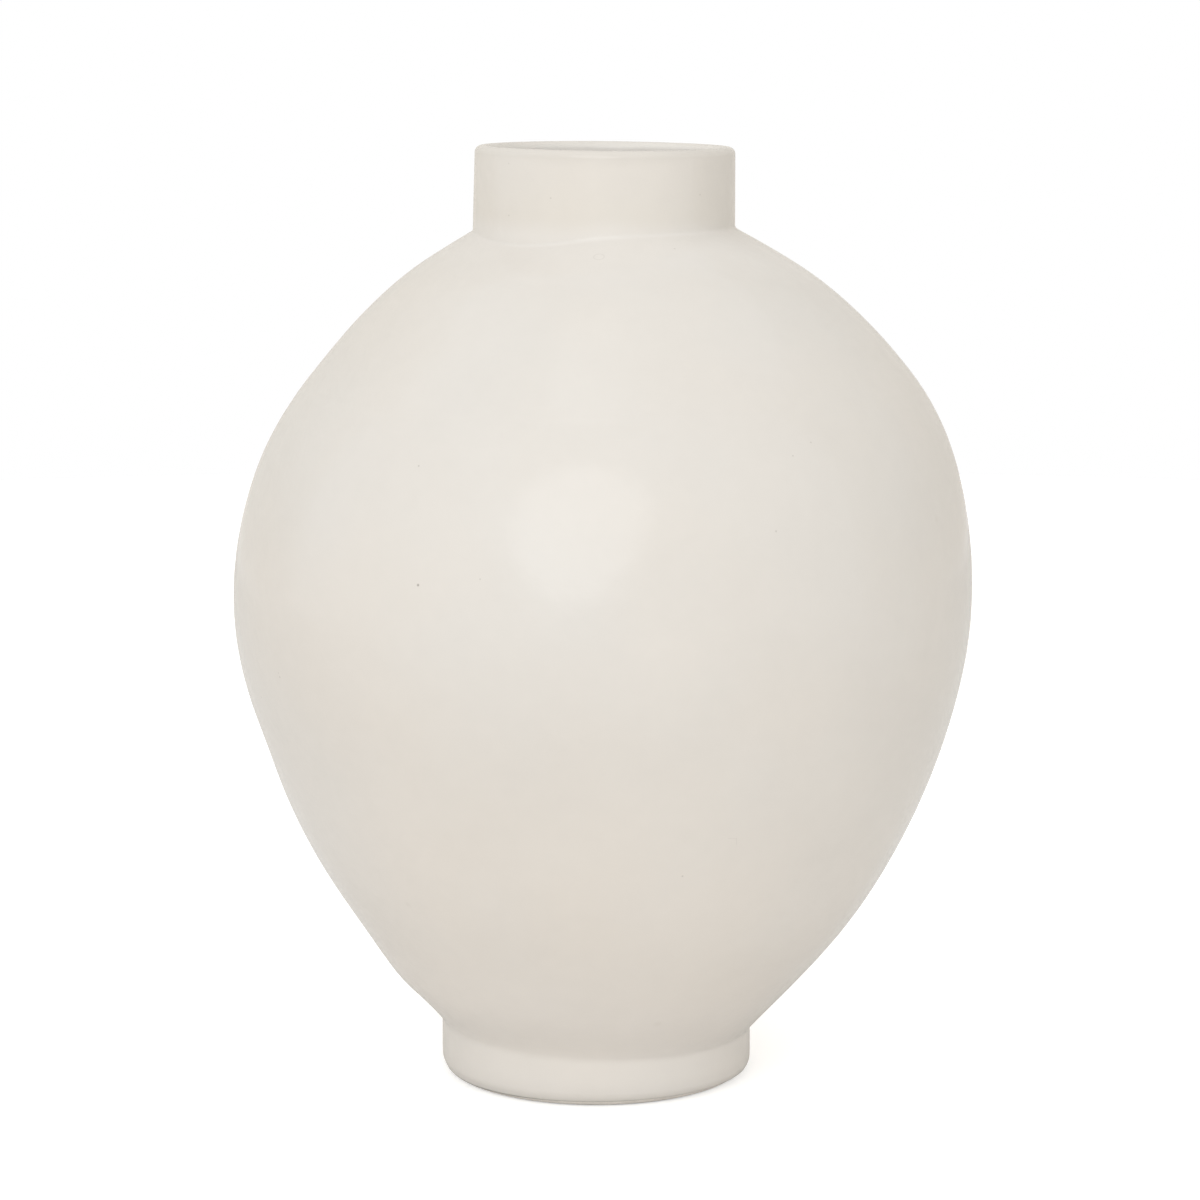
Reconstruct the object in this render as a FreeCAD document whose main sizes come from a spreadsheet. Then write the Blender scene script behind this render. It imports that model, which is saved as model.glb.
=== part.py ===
import FreeCAD, Part
import os

import Sketcher

# A large white porcelain jar, thrown as two bowls that are luted rim to rim, with a foot ring
# below and a short upright collar on top, all under one coat of clear glaze. Millimetres,
# +Z up, foot on Z = 0, +X to the right of the photographed side.

# Driving sizes: name, value, what it is
SIZES = (
    ("jar_height", 450.0, "ground to the top of the lip, over the glaze"),
    ("belly_radius", 176.7, "clay radius at the widest ring"),
    ("belly_level", 238.0, "height of the widest ring"),
    ("seam_depth", 75.0, "how far the luted seam of the two bowls lies below the neck joint"),
    ("wall_thickness", 6.5, "wall of both bowls at the belly"),
    ("floor_thickness", 11.0, "floor of the lower bowl above the foot joint"),
    ("floor_inset", 12.7, "how far the flat inside floor stays within the foot"),
    ("ring_drift", 4.0, "how far the thrown rings wander off the axis"),
    ("foot_joint_level", 24.4, "height of the joint between foot ring and lower bowl"),
    ("foot_radius", 74.7, "clay radius of the foot ring"),
    ("foot_offset", -3.2, "foot axis, left of the belly axis"),
    ("foot_edge_round", 8.5, "round of the outer bottom edge of the foot"),
    ("foot_inner_round", 1.5, "round of the inner bottom edge of the foot"),
    ("foot_contact_width", 5.0, "width of the flat ring that the jar stands on"),
    ("recess_taper", 5.0, "how much narrower the recess is at its top"),
    ("bare_foot_height", 2.5, "unglazed height of the foot above the ground"),
    ("collar_height", 39.0, "neck joint to the top of the lip, over the glaze"),
    ("neck_offset", 0.7, "neck axis, right of the belly axis"),
    ("collar_base_radius", 61.7, "clay radius of the collar at its foot"),
    ("collar_draw_in", 0.6, "how much narrower the collar is at the lip"),
    ("collar_wall", 5.5, "clay wall of the collar at the lip"),
    ("slip_thickness", 1.2, "layer of slip in each luted joint"),
    ("glaze_thickness", 0.6, "coat of clear glaze"),
)

# Rings of the outer clay surface, from the foot joint (0) up to the belly (1): share of the
# height, share of the widening, share of the drift (None where the ring is on the foot's axis)
LOWER_RING_SHARES = (
    (0.0, 0.0, None),
    (0.055, 0.102, -0.65),
    (0.14, 0.266, -0.36),
    (0.25, 0.437, 0.14),
    (0.39, 0.622, 0.18),
    (0.56, 0.790, 0.20),
    (0.75, 0.925, 0.08),
    (1.0, 1.0, 0.0),
)

# Rings from the belly (0) up to the neck joint (1): share of the height, share of the radius
# that is still to lose outside, the same inside, share of the drift (None on the neck's axis)
UPPER_RING_SHARES = (
    (0.22, 0.963, 0.963, 0.28),
    (0.40, 0.885, 0.881, 0.62),
    (0.57, 0.744, 0.733, 1.0),
    (0.73, 0.544, 0.528, 0.90),
    (0.87, 0.315, 0.290, 0.40),
    (0.95, 0.132, 0.114, 0.20),
    (1.0, 0.0, 0.0, None),
)

# Rings of the inside from the floor (0) up to the belly (1): share of the height, share of
# the widening, share of the drift
INNER_RING_SHARES = (
    (0.0, 0.0, -0.60),
    (0.02, 0.115, -0.55),
    (0.06, 0.200, -0.45),
    (0.11, 0.285, -0.30),
    (0.20, 0.425, 0.05),
    (0.36, 0.628, 0.18),
    (0.54, 0.797, 0.20),
    (0.75, 0.933, 0.08),
    (1.0, 1.0, 0.0),
)

NO_GROWTH = "0"
GLAZE = "Sizes.glaze_thickness"
VALUES = {name: value for name, value, note in SIZES}
FULL_TURN = FreeCAD.Units.Quantity("360 deg").getValueAs("rad").Value

doc = FreeCAD.newDocument("MoonJar")


def size(name):
    return f"Sizes.{name}"


# Places and radii that follow from the driving sizes
FOOT_LEVEL = size("foot_joint_level")
NECK_LEVEL = f"({size('jar_height')} - {size('collar_height')})"
SEAM_LEVEL = f"({NECK_LEVEL} - {size('seam_depth')})"
LIP_RADIUS = f"({size('collar_base_radius')} - {size('collar_draw_in')})"
MOUTH_RADIUS = f"({LIP_RADIUS} - {size('collar_wall')})"
FLOOR_RADIUS = f"({size('foot_radius')} - {size('floor_inset')})"
FLOOR_LEVEL = f"({FOOT_LEVEL} + {size('floor_thickness')})"
CONTACT_RADIUS = f"({size('foot_radius')} - {size('foot_edge_round')} - {size('foot_contact_width')})"


def make_sheet():
    sheet = doc.addObject("Spreadsheet::Sheet", "Sizes")
    for row, (name, value, note) in enumerate(SIZES, start=1):
        sheet.set(f"A{row}", name)
        sheet.set(f"B{row}", str(value))
        sheet.set(f"C{row}", note)
        sheet.setAlias(f"B{row}", name)
    doc.recompute()


def place(solid, offset, level):
    solid.setExpression("Placement.Base.x", offset)
    solid.setExpression("Placement.Base.z", level)


def ring(name, radius, offset, level):
    circle = doc.addObject("Part::Circle", name)
    circle.setExpression("Radius", radius)
    place(circle, offset, level)
    return circle


def loft(name, rings):
    form = doc.addObject("Part::Loft", name)
    form.Sections = rings
    form.Solid = True
    return form


def cylinder(name, radius, height, offset, level):
    solid = doc.addObject("Part::Cylinder", name)
    solid.setExpression("Radius", radius)
    solid.setExpression("Height", height)
    place(solid, offset, level)
    return solid


def fuse(name, parts):
    joined = doc.addObject("Part::MultiFuse", name)
    joined.Shapes = parts
    return joined


def cut(name, base, tools):
    """Base minus each tool in turn; the last cut carries the name."""
    for count, tool in enumerate(tools, start=1):
        step = doc.addObject("Part::Cut", name if count == len(tools) else f"{name}_cut{count}")
        step.Base = base
        step.Tool = tool
        base = step
    return base


def common(name, base, tool):
    shared = doc.addObject("Part::Common", name)
    shared.Base = base
    shared.Tool = tool
    return shared


def ring_offset(share, axis):
    """Where a ring's centre lies: its share of the drift, or the axis of the piece it meets."""
    return size(axis) if share is None else f"{share} * {size('ring_drift')}"


def between(share, low, high):
    return f"{low} + {share} * ({high} - {low})"


def outer_form(name, growth):
    """Solid loft of the two bowls' outer surface, grown sideways."""
    foot_radius, belly_radius, neck_radius = map(size, ("foot_radius", "belly_radius", "collar_base_radius"))
    belly_level = size("belly_level")
    rings = []
    for level_share, radius_share, drift_share in LOWER_RING_SHARES:
        radius = f"{between(radius_share, foot_radius, belly_radius)} + {growth}"
        offset = ring_offset(drift_share, "foot_offset")
        level = between(level_share, FOOT_LEVEL, belly_level)
        rings.append(ring(f"{name}_ring{len(rings)}", radius, offset, level))
    for level_share, radius_share, _, drift_share in UPPER_RING_SHARES:
        radius = f"{between(radius_share, neck_radius, belly_radius)} + {growth}"
        offset = ring_offset(drift_share, "neck_offset")
        level = between(level_share, belly_level, NECK_LEVEL)
        rings.append(ring(f"{name}_ring{len(rings)}", radius, offset, level))
    return loft(name, rings)


def inner_form(name, growth):
    """Solid loft of the hollow, from the floor to the neck joint, drawn in by the growth."""
    floor_level = f"({FLOOR_LEVEL} + {growth})"
    belly_level = size("belly_level")
    belly_radius = f"({size('belly_radius')} - {size('wall_thickness')})"
    rings = []
    for level_share, radius_share, drift_share in INNER_RING_SHARES:
        radius = f"{between(radius_share, FLOOR_RADIUS, belly_radius)} - {growth}"
        offset = ring_offset(drift_share, "foot_offset")
        level = between(level_share, floor_level, belly_level)
        rings.append(ring(f"{name}_ring{len(rings)}", radius, offset, level))
    for level_share, _, radius_share, drift_share in UPPER_RING_SHARES:
        radius = f"{between(radius_share, MOUTH_RADIUS, belly_radius)} - {growth}"
        offset = ring_offset(drift_share, "neck_offset")
        level = between(level_share, belly_level, NECK_LEVEL)
        rings.append(ring(f"{name}_ring{len(rings)}", radius, offset, level))
    return loft(name, rings)


def sketch_on_front(body, name):
    sketch = body.newObject("Sketcher::SketchObject", name)
    front = [plane for plane in body.Origin.OriginFeatures if plane.Role == "XZ_Plane"][0]
    sketch.AttachmentSupport = [(front, "")]
    sketch.MapMode = "FlatFace"
    return sketch


def line(sketch, start, end):
    return sketch.addGeometry(Part.LineSegment(FreeCAD.Vector(*start, 0), FreeCAD.Vector(*end, 0)))


def arc(sketch, centre, radius, start_turn, end_turn):
    """Arc between two shares of a full turn."""
    circle = Part.Circle(FreeCAD.Vector(*centre, 0), FreeCAD.Vector(0, 0, 1), radius)
    return sketch.addGeometry(Part.ArcOfCircle(circle, start_turn * FULL_TURN, end_turn * FULL_TURN))


def bind(sketch, kind, elements, name, start, text):
    """Add a named size, near its start value, and bind it to the sheet."""
    index = sketch.addConstraint(Sketcher.Constraint(kind, *elements, start))
    sketch.renameConstraint(index, name)
    sketch.setExpression(f"Constraints.{name}", text)


def turned_body(name, draw_section, growths, offset, level):
    """Body turned once around its upright axis from the section that the function draws."""
    body = doc.addObject("PartDesign::Body", name)
    sketch = sketch_on_front(body, f"{name}_section")
    draw_section(sketch, *growths)
    turned = body.newObject("PartDesign::Revolution", f"{name}_turned")
    turned.Profile = sketch
    turned.ReferenceAxis = (sketch, ["V_Axis"])
    turned.Angle = 360
    place(body, offset, level)
    return body


def draw_collar(sketch, growth):
    """Near-upright wall from the neck joint up to a full round lip."""
    extra = VALUES["glaze_thickness"] if growth == GLAZE else 0
    base = VALUES["collar_base_radius"] + extra
    lip = base - VALUES["collar_draw_in"]
    inner = lip - VALUES["collar_wall"] - 2 * extra
    half_wall = (lip - inner) / 2
    top = VALUES["collar_height"] - VALUES["glaze_thickness"] + extra
    centre = (inner + half_wall, top - half_wall)
    bottom_line = line(sketch, (inner, 0), (base, 0))
    outer_line = line(sketch, (base, 0), (lip, centre[1]))
    lip_arc = arc(sketch, centre, half_wall, 0, 1 / 2)
    inner_line = line(sketch, (inner, centre[1]), (inner, 0))
    sketch.addConstraint([
        Sketcher.Constraint("Coincident", bottom_line, 2, outer_line, 1),
        Sketcher.Constraint("Tangent", outer_line, 2, lip_arc, 1),
        Sketcher.Constraint("Tangent", lip_arc, 2, inner_line, 1),
        Sketcher.Constraint("Coincident", inner_line, 2, bottom_line, 1),
        Sketcher.Constraint("PointOnObject", bottom_line, 1, -1),
        Sketcher.Constraint("Horizontal", bottom_line),
        Sketcher.Constraint("Vertical", inner_line),
    ])
    inner_text = f"{MOUTH_RADIUS} - {growth}"
    lip_text = f"{LIP_RADIUS} + {growth}"
    rise_text = f"{size('collar_height')} - {GLAZE} + {growth} - ({lip_text} - ({inner_text})) / 2"
    bind(sketch, "DistanceX", (-1, 1, bottom_line, 1), "mouth", inner, inner_text)
    base_text = f"{size('collar_base_radius')} + {growth}"
    bind(sketch, "DistanceX", (-1, 1, outer_line, 1), "base", base, base_text)
    bind(sketch, "DistanceX", (-1, 1, outer_line, 2), "lip", lip, lip_text)
    bind(sketch, "DistanceY", (-1, 1, lip_arc, 3), "rise", centre[1], rise_text)


def draw_foot(sketch, outer_growth, inner_growth):
    """Foot ring with a broad round outer edge and a tapered inner wall."""
    outer_extra = VALUES["glaze_thickness"] if outer_growth == GLAZE else 0
    inner_extra = VALUES["glaze_thickness"] if inner_growth == GLAZE else 0
    edge, inner_edge = VALUES["foot_edge_round"], VALUES["foot_inner_round"]
    outer = VALUES["foot_radius"] + outer_extra
    contact = VALUES["foot_radius"] - edge - VALUES["foot_contact_width"] - inner_extra
    inner_top = contact - inner_edge - VALUES["recess_taper"]
    top = VALUES["foot_joint_level"]
    contact_line = line(sketch, (contact, 0), (outer - edge, 0))
    outer_arc = arc(sketch, (outer - edge, edge), edge, 3 / 4, 1)
    outer_wall = line(sketch, (outer, edge), (outer, top))
    top_line = line(sketch, (outer, top), (inner_top, top))
    inner_wall = line(sketch, (inner_top, top), (contact - inner_edge, inner_edge))
    inner_arc = arc(sketch, (contact, inner_edge), inner_edge, 1 / 2, 3 / 4)
    sketch.addConstraint([
        Sketcher.Constraint("Tangent", contact_line, 2, outer_arc, 1),
        Sketcher.Constraint("Tangent", outer_arc, 2, outer_wall, 1),
        Sketcher.Constraint("Coincident", outer_wall, 2, top_line, 1),
        Sketcher.Constraint("Coincident", top_line, 2, inner_wall, 1),
        Sketcher.Constraint("Tangent", inner_wall, 2, inner_arc, 1),
        Sketcher.Constraint("Tangent", inner_arc, 2, contact_line, 1),
        Sketcher.Constraint("PointOnObject", contact_line, 1, -1),
        Sketcher.Constraint("Horizontal", contact_line),
        Sketcher.Constraint("Vertical", outer_wall),
        Sketcher.Constraint("Horizontal", top_line),
    ])
    contact_text = f"{CONTACT_RADIUS} - {inner_growth}"
    inner_top_text = f"{contact_text} - {size('foot_inner_round')} - {size('recess_taper')}"
    bind(sketch, "Radius", (outer_arc,), "edge", edge, size("foot_edge_round"))
    bind(sketch, "Radius", (inner_arc,), "inner_edge", inner_edge, size("foot_inner_round"))
    outer_text = f"{size('foot_radius')} + {outer_growth}"
    bind(sketch, "DistanceX", (-1, 1, outer_wall, 1), "outer", outer, outer_text)
    bind(sketch, "DistanceX", (-1, 1, contact_line, 1), "contact", contact, contact_text)
    bind(sketch, "DistanceX", (-1, 1, inner_wall, 1), "inner_top", inner_top, inner_top_text)
    bind(sketch, "DistanceY", (-1, 1, top_line, 2), "top", top, FOOT_LEVEL)


make_sheet()

reach = f"2 * {size('belly_radius')}"
tall = size("jar_height")
slip = size("slip_thickness")
foot_axis, neck_axis = map(size, ("foot_offset", "neck_offset"))

# The wall of both bowls, one smooth form from foot joint to neck joint
clay_outside = outer_form("clay_outside", NO_GROWTH)
clay_inside = inner_form("clay_inside", NO_GROWTH)
body_wall = cut("body_wall", clay_outside, [clay_inside])

# The two bowls and the slip between their rims
above_seam = cylinder("above_seam", reach, tall, "0", f"{SEAM_LEVEL} - {slip} / 2")
below_seam = cylinder("below_seam", reach, tall, "0", f"{SEAM_LEVEL} + {slip} / 2 - {tall}")
seam_slab = common("seam_slab", above_seam, below_seam)
lower_bowl = cut("lower_bowl", body_wall, [above_seam])
upper_bowl = cut("upper_bowl", body_wall, [below_seam])
shoulder_joint_slip = common("shoulder_joint_slip", body_wall, seam_slab)

# Foot ring and the slip that lutes it to the lower bowl
foot_blank = turned_body("foot_blank", draw_foot, (NO_GROWTH, NO_GROWTH), foot_axis, "0")
above_foot = cylinder("above_foot", reach, tall, foot_axis, f"{FOOT_LEVEL} - {slip}")
foot_ring = cut("foot_ring", foot_blank, [above_foot])
foot_joint_slip = common("foot_joint_slip", foot_blank, above_foot)

# Collar and the slip that lutes it to the upper bowl
collar_blank = turned_body("collar_blank", draw_collar, (NO_GROWTH,), neck_axis, NECK_LEVEL)
below_collar = cylinder("below_collar", reach, tall, neck_axis, f"{NECK_LEVEL} + {slip} - {tall}")
neck_collar = cut("neck_collar", collar_blank, [below_collar])
neck_joint_slip = common("neck_joint_slip", collar_blank, below_collar)

# One glaze coat over the outside, over the lip and down the inside
bare_zone = cylinder("bare_zone", reach, size("bare_foot_height"), "0", "0")
coat_outside = cut("coat_outside", outer_form("coat_outer_form", GLAZE), [clay_outside])
coat_inside = cut("coat_inside", clay_inside, [inner_form("coat_inner_form", GLAZE)])
coat_collar_blank = turned_body("coat_collar_blank", draw_collar, (GLAZE,), neck_axis, NECK_LEVEL)
coat_collar = cut("coat_collar", coat_collar_blank, [collar_blank])
coat_foot_blank = turned_body("coat_foot_blank", draw_foot, (GLAZE, NO_GROWTH), foot_axis, "0")
coat_foot = cut("coat_foot", coat_foot_blank, [foot_blank, bare_zone])
glaze_coat = fuse("glaze_coat", [coat_collar, coat_outside, coat_inside, coat_foot])

# Glaze of the recess under the foot
recess_coat_blank = turned_body("recess_coat_blank", draw_foot, (NO_GROWTH, GLAZE), foot_axis, "0")
recess_coat_disc = cylinder(
    "recess_coat_disc", f"{size('foot_radius')} - {size('foot_edge_round')}", GLAZE,
    foot_axis, f"{FOOT_LEVEL} - {GLAZE}",
)
recess_coat = fuse("recess_coat", [recess_coat_blank, recess_coat_disc])
foot_recess_glaze = cut("foot_recess_glaze", recess_coat, [foot_blank, bare_zone])

NODES = (
    foot_ring, lower_bowl, upper_bowl, neck_collar,
    foot_joint_slip, shoulder_joint_slip, neck_joint_slip,
    glaze_coat, foot_recess_glaze,
)

doc.recompute()


def check_document():
    for item in doc.Objects:
        if "Invalid" in item.State or "Error" in item.State:
            raise RuntimeError(f"{item.Label} failed: {item.State}")
    for node in NODES:
        shape = node.Shape
        if shape.isNull() or not shape.isValid() or len(shape.Solids) != 1:
            raise RuntimeError(f"{node.Label} is not one valid solid")


def write_nodes():
    os.makedirs("parts", exist_ok=True)
    for node in NODES:
        box = node.Shape.BoundBox
        print(f"{node.Label}: {node.Shape.Volume / 1000:.1f} cm3, Z {box.ZMin:.2f} to {box.ZMax:.2f}")
        node.Shape.exportStep(f"parts/{node.Label}.step")


check_document()
write_nodes()
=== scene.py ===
import math

import bpy
import numpy as np
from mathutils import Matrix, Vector, noise
from mathutils.bvhtree import BVHTree


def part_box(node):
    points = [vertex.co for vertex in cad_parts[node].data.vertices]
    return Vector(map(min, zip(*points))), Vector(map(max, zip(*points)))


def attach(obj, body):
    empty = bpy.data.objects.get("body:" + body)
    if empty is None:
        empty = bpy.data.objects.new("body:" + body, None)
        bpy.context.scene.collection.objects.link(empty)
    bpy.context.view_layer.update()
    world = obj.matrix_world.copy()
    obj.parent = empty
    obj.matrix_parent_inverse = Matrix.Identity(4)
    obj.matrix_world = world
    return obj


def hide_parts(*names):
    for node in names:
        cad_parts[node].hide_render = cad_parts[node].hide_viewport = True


# A large white porcelain jar under a satin glaze. Metres, +Z up. Azimuth 0 is the photographed
# side, towards -Y, and azimuths grow towards +X. Heights are above the surface it stands on.

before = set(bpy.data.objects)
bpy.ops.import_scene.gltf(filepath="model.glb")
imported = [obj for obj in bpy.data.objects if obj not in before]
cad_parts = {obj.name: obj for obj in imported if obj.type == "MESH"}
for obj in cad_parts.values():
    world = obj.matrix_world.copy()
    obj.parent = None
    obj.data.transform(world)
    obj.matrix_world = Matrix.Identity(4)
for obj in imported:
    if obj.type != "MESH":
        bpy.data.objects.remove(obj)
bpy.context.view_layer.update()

MM = 0.001
# Plain colours, and the roughness of a matt surface
WHITE = (1, 1, 1, 1)
BLACK = (0, 0, 0, 1)
MATT = 1.0

# How finely the surfaces are divided
COLUMNS = 384
WALL_STEP = 3.4 * MM
JOINT_STEP = 0.75 * MM
JOINT_REACH = 4.5 * MM
LIP_ROWS = 16
BORE_ROWS = 24
INSIDE_ROWS = 46
RING_ROWS = 44
RECESS_ROWS = 48
RECESS_SAMPLES = 288
RECESS_EASING_ROUNDS = 3
HIDDEN_ROWS = 4

# How the CAD wall is sampled and made smooth
FIT_AZIMUTHS = 48
FIT_ANGLES = 110
FIT_DEGREE = 16
SECTION_POINTS = 1600
RAY_LENGTH = 1.0
LIP_PROBE_DEPTH = 4.0 * MM

# How the joints depart from level, true circles
NECK_JOINT_LEAN = 0.3 * MM
NECK_JOINT_DROP = 0.5 * MM
NECK_JOINT_SAG = 4.9 * MM
SAG_AZIMUTH = -38.0
SAG_WIDTH = 24.0
NECK_LEAN_REACH = 16.0 * MM
FOOT_JOINT_LEAN = 1.9 * MM
FOOT_LEAN_REACH = 20.0 * MM
NECK_FILLET = 2.3 * MM
NECK_FILLET_SWING = 0.7 * MM
THROAT_FILLET = 3.0 * MM
FOOT_FILLET = 0.9 * MM
COLLAR_BASE_SHIFT = -0.2 * MM
COLLAR_LIP_SHIFT = 0.3 * MM
LIP_LEAN = 0.5 * MM
LIP_WAVE = 0.06 * MM
LIP_WAVES = 3
LIP_WAVE_PHASE = 1.0

# Shallow hollows in the sides, where the photographed jar is slimmer than the CAD wall: side
# (-1 left, 1 right), depth, height and reach
HOLLOWS = (
    (-1, 2.5 * MM, 388.0 * MM, 20.0 * MM),
    (-1, 0.95 * MM, 340.0 * MM, 34.0 * MM),
    (-1, 0.7 * MM, 166.0 * MM, 18.0 * MM),
    (-1, 0.85 * MM, 76.0 * MM, 28.0 * MM),
    (-1, 1.4 * MM, 40.0 * MM, 9.0 * MM),
    (1, 0.75 * MM, 348.0 * MM, 22.0 * MM),
)
# The luted seam of the two bowls, and swellings of the wall as size and height
SEAM_SWELL = 0.16 * MM
SEAM_SWELL_REACH = 6.0 * MM
SEAM_GROOVE = 0.10 * MM
SEAM_GROOVE_REACH = 1.6 * MM
SWELL_SIZES = ((90.0 * MM, 0.16 * MM), (34.0 * MM, 0.05 * MM))
# Throwing lines: height, length up the wall, turns of the spiral and phase as a share of a turn
OUTSIDE_LINES = ((0.022 * MM, 15.0 * MM, 1, 0.1), (0.012 * MM, 8.0 * MM, 2, 0.6))
INSIDE_LINES = ((0.22 * MM, 21.0 * MM, 1, 0.3), (0.07 * MM, 12.0 * MM, 1, 0.8))
DETAIL_FADE = 12.0 * MM

# The glaze's edge above the bare foot
EDGE_RISE = 1.6 * MM
EDGE_WAVE = 0.35 * MM
EDGE_WAVES = 2
EDGE_WAVE_PHASE = 1.0

# The camera and the studio
CAMERA_LENS = 115.9
CAMERA_SENSOR = 36.0
CAMERA_PLACE = Vector((-1.35, -1840, 520)) * MM
CAMERA_AIM = Vector((-1.35, 0, 231.8)) * MM
ROOM_COLOUR = (0.98, 0.99, 1.0)
ROOM_STRENGTH = 1.05
# The pale floor, and how much brighter the camera alone sees it
FLOOR_RADIUS = 2.4
FLOOR_SIDES = 96
FLOOR_COLOUR = (0.82, 0.815, 0.80)
FLOOR_SHINE = 0.5
# The curved card: its distance, height, azimuths and its colours from left to right
CARD_DISTANCE = 2.6
CARD_HEIGHT = 3.4
CARD_FROM = 83.0
CARD_TO = 252.0
CARD_PANELS = 24
CARD_COLOUR = (0.865, 0.83, 0.775)
CARD_DARK_COLOUR = (0.73, 0.695, 0.65)
# Where the darker colour begins to blend in: a share of the card's distance, minus to the left
CARD_SHADE_START = -0.5
# Lamps: name, azimuth, elevation, distance, width, height and watts
LAMPS = (
    ("softbox", -9.0, 24.7, 2.6, 1.87, 1.80, 12.4),
    ("overhead", -16.0, 72.0, 1.9, 0.6, 0.9, 0.5),
)

# The glaze: colours from the standing edge to the lip as shares of the jar's height. The warm
# foot and cooler top are the glaze's own colour. Its rise and fall in lightness is partly painted
# light and shade: it is lighter just above the foot joint and just below the neck joint, where
# those creases lie in shade.
GLAZE_TINTS_AND_PAINTED_LIGHT = (
    (0.0, (0.690, 0.653, 0.608)),
    (0.045, (0.752, 0.712, 0.660)),
    (0.085, (0.770, 0.726, 0.676)),
    (0.20, (0.730, 0.689, 0.638)),
    (0.45, (0.690, 0.653, 0.604)),
    (0.70, (0.676, 0.647, 0.603)),
    (0.86, (0.680, 0.650, 0.603)),
    (0.905, (0.728, 0.699, 0.655)),
    (0.93, (0.692, 0.656, 0.600)),
    (0.985, (0.692, 0.656, 0.604)),
    (1.0, (0.655, 0.622, 0.572)),
)
# The glaze inside, lighter than the outside: painted light that lifts the shade inside the mouth
# and on the lip's inner side
INSIDE_COLOUR_AND_PAINTED_LIGHT = (0.82, 0.785, 0.73)
# Large soft patches of painted shade, on the neck's right side where less light falls: azimuth,
# height in mm, radius in mm and how much
PAINTED_SHADE_PATCHES = ((66.0, 432.0, 60.0, 0.07),)
GLAZE_ROUGHNESS = 0.17
GLAZE_GLOSS = 0.4
# Clouding of the glaze: size, how much lighter or darker, and a shift that keeps the noises apart
CLOUDS = ((150.0 * MM, 0.016, 0.0), (46.0 * MM, 0.010, 3.0), (9.0 * MM, 0.006, 7.0))
BLUSH_COLOUR = (1.012, 0.992, 0.970)
BLUSH_SIZE = 120.0 * MM
BLUSH_SHIFT = 5.0
# Fine bumps of the glaze: size and height
SURFACE_GRAIN = ((14.0 * MM, 0.035 * MM), (3.2 * MM, 0.010 * MM))
ROUGHNESS_DRIFT = 0.035
ROUGHNESS_DRIFT_SIZE = 60.0 * MM
ROUGHNESS_SHIFT = 9.0
TINT_DRIFT = 0.02
TINT_SHIFT = 1.0
# The share of the lip's round over which the inside's painted light fades out before the crest
MOUTH_FADE_SHARE = 0.25
# The part of a noise texture's span that it mostly stays in, and its detail
NOISE_LOW = 0.25
NOISE_HIGH = 0.75
NOISE_DETAIL = 2.0

# Iron specks and blemishes: azimuth, height in mm, radius in mm, and how dark the middle is
SPECK_COLOUR = (0.20, 0.165, 0.13)
SPECKS = (
    (-27.8, 262.7, 0.95, 0.75),
    (-18.0, 267.0, 0.60, 0.30),
    (-30.8, 313.5, 0.70, 0.40),
    (-57.8, 210.6, 0.75, 0.40),
    (-58.1, 212.4, 0.60, 0.30),
    (-67.8, 196.0, 0.80, 0.35),
    (35.8, 323.0, 0.60, 0.35),
    (31.6, 318.0, 0.60, 0.35),
    (26.4, 286.5, 0.70, 0.35),
    (13.8, 129.0, 0.70, 0.35),
    (-22.9, 427.7, 0.60, 0.30),
    (-45.0, 419.0, 0.60, 0.30),
    (-45.5, 443.0, 0.55, 0.25),
    (46.0, 428.6, 0.60, 0.30),
    (27.0, 405.0, 0.70, 0.30),
    (104.0, 268.0, 0.80, 0.55),
    (131.0, 182.0, 0.65, 0.40),
    (158.0, 334.0, 0.75, 0.50),
    (-172.0, 226.0, 0.60, 0.45),
    (-139.0, 291.0, 0.85, 0.55),
    (-118.0, 151.0, 0.65, 0.40),
    (-96.0, 352.0, 0.60, 0.35),
    (172.0, 112.0, 0.80, 0.45),
)
SMUDGE_COLOUR = (0.56, 0.50, 0.43)
SMUDGES = (
    (62.4, 282.0, 3.0, 0.16),
    (15.6, 46.0, 3.4, 0.14),
    (-41.0, 106.0, 3.0, 0.14),
    (146.0, 78.0, 4.0, 0.14),
    (-152.0, 374.0, 3.2, 0.12),
)
# A hairline scratch: the ends of its two strokes as azimuth and height in mm, how far apart its
# marks are, their radius in mm and how dark they are
SCRATCH = ((21.0, 146.6), (22.4, 146.4), (22.6, 143.2))
SCRATCH_STEP = 0.7 * MM
SCRATCH_RADIUS = 0.35
SCRATCH_DEPTH = 0.22
# A small ring left by a burst bubble: azimuth, height in mm, radius in mm and how dark it is
RING_MARK = (-1.4, 402.0, 2.4, 0.11)
RING_MARK_WIDTH = 0.5 * MM

# The bare clay: its colour, the toasted colour along the glaze, and how high that reaches
CLAY_COLOUR = (0.86, 0.82, 0.765)
CLAY_TOAST_COLOUR = (0.84, 0.785, 0.715)
CLAY_TOAST_REACH = 1.4 * MM
CLAY_ROUGHNESS = 0.85
CLAY_CLOUDS = ((40.0 * MM, 0.05, 0.0), (5.0 * MM, 0.06, 2.0), (1.2 * MM, 0.05, 4.0))
CLAY_GRAIN = ((2.4 * MM, 0.06 * MM), (0.7 * MM, 0.03 * MM))


def node_tree(*nodes):
    """Ray tree over the meshes of some CAD nodes."""
    points = []
    faces = []
    for node in nodes:
        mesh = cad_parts[node].data
        start = len(points)
        points.extend(vertex.co.copy() for vertex in mesh.vertices)
        faces.extend([start + corner for corner in polygon.vertices] for polygon in mesh.polygons)
    return BVHTree.FromPolygons(points, faces)


COAT_TREE = node_tree("glaze_coat")
FOOT_TREE = node_tree("foot_ring")
RECESS_TREE = node_tree("foot_recess_glaze")


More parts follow.
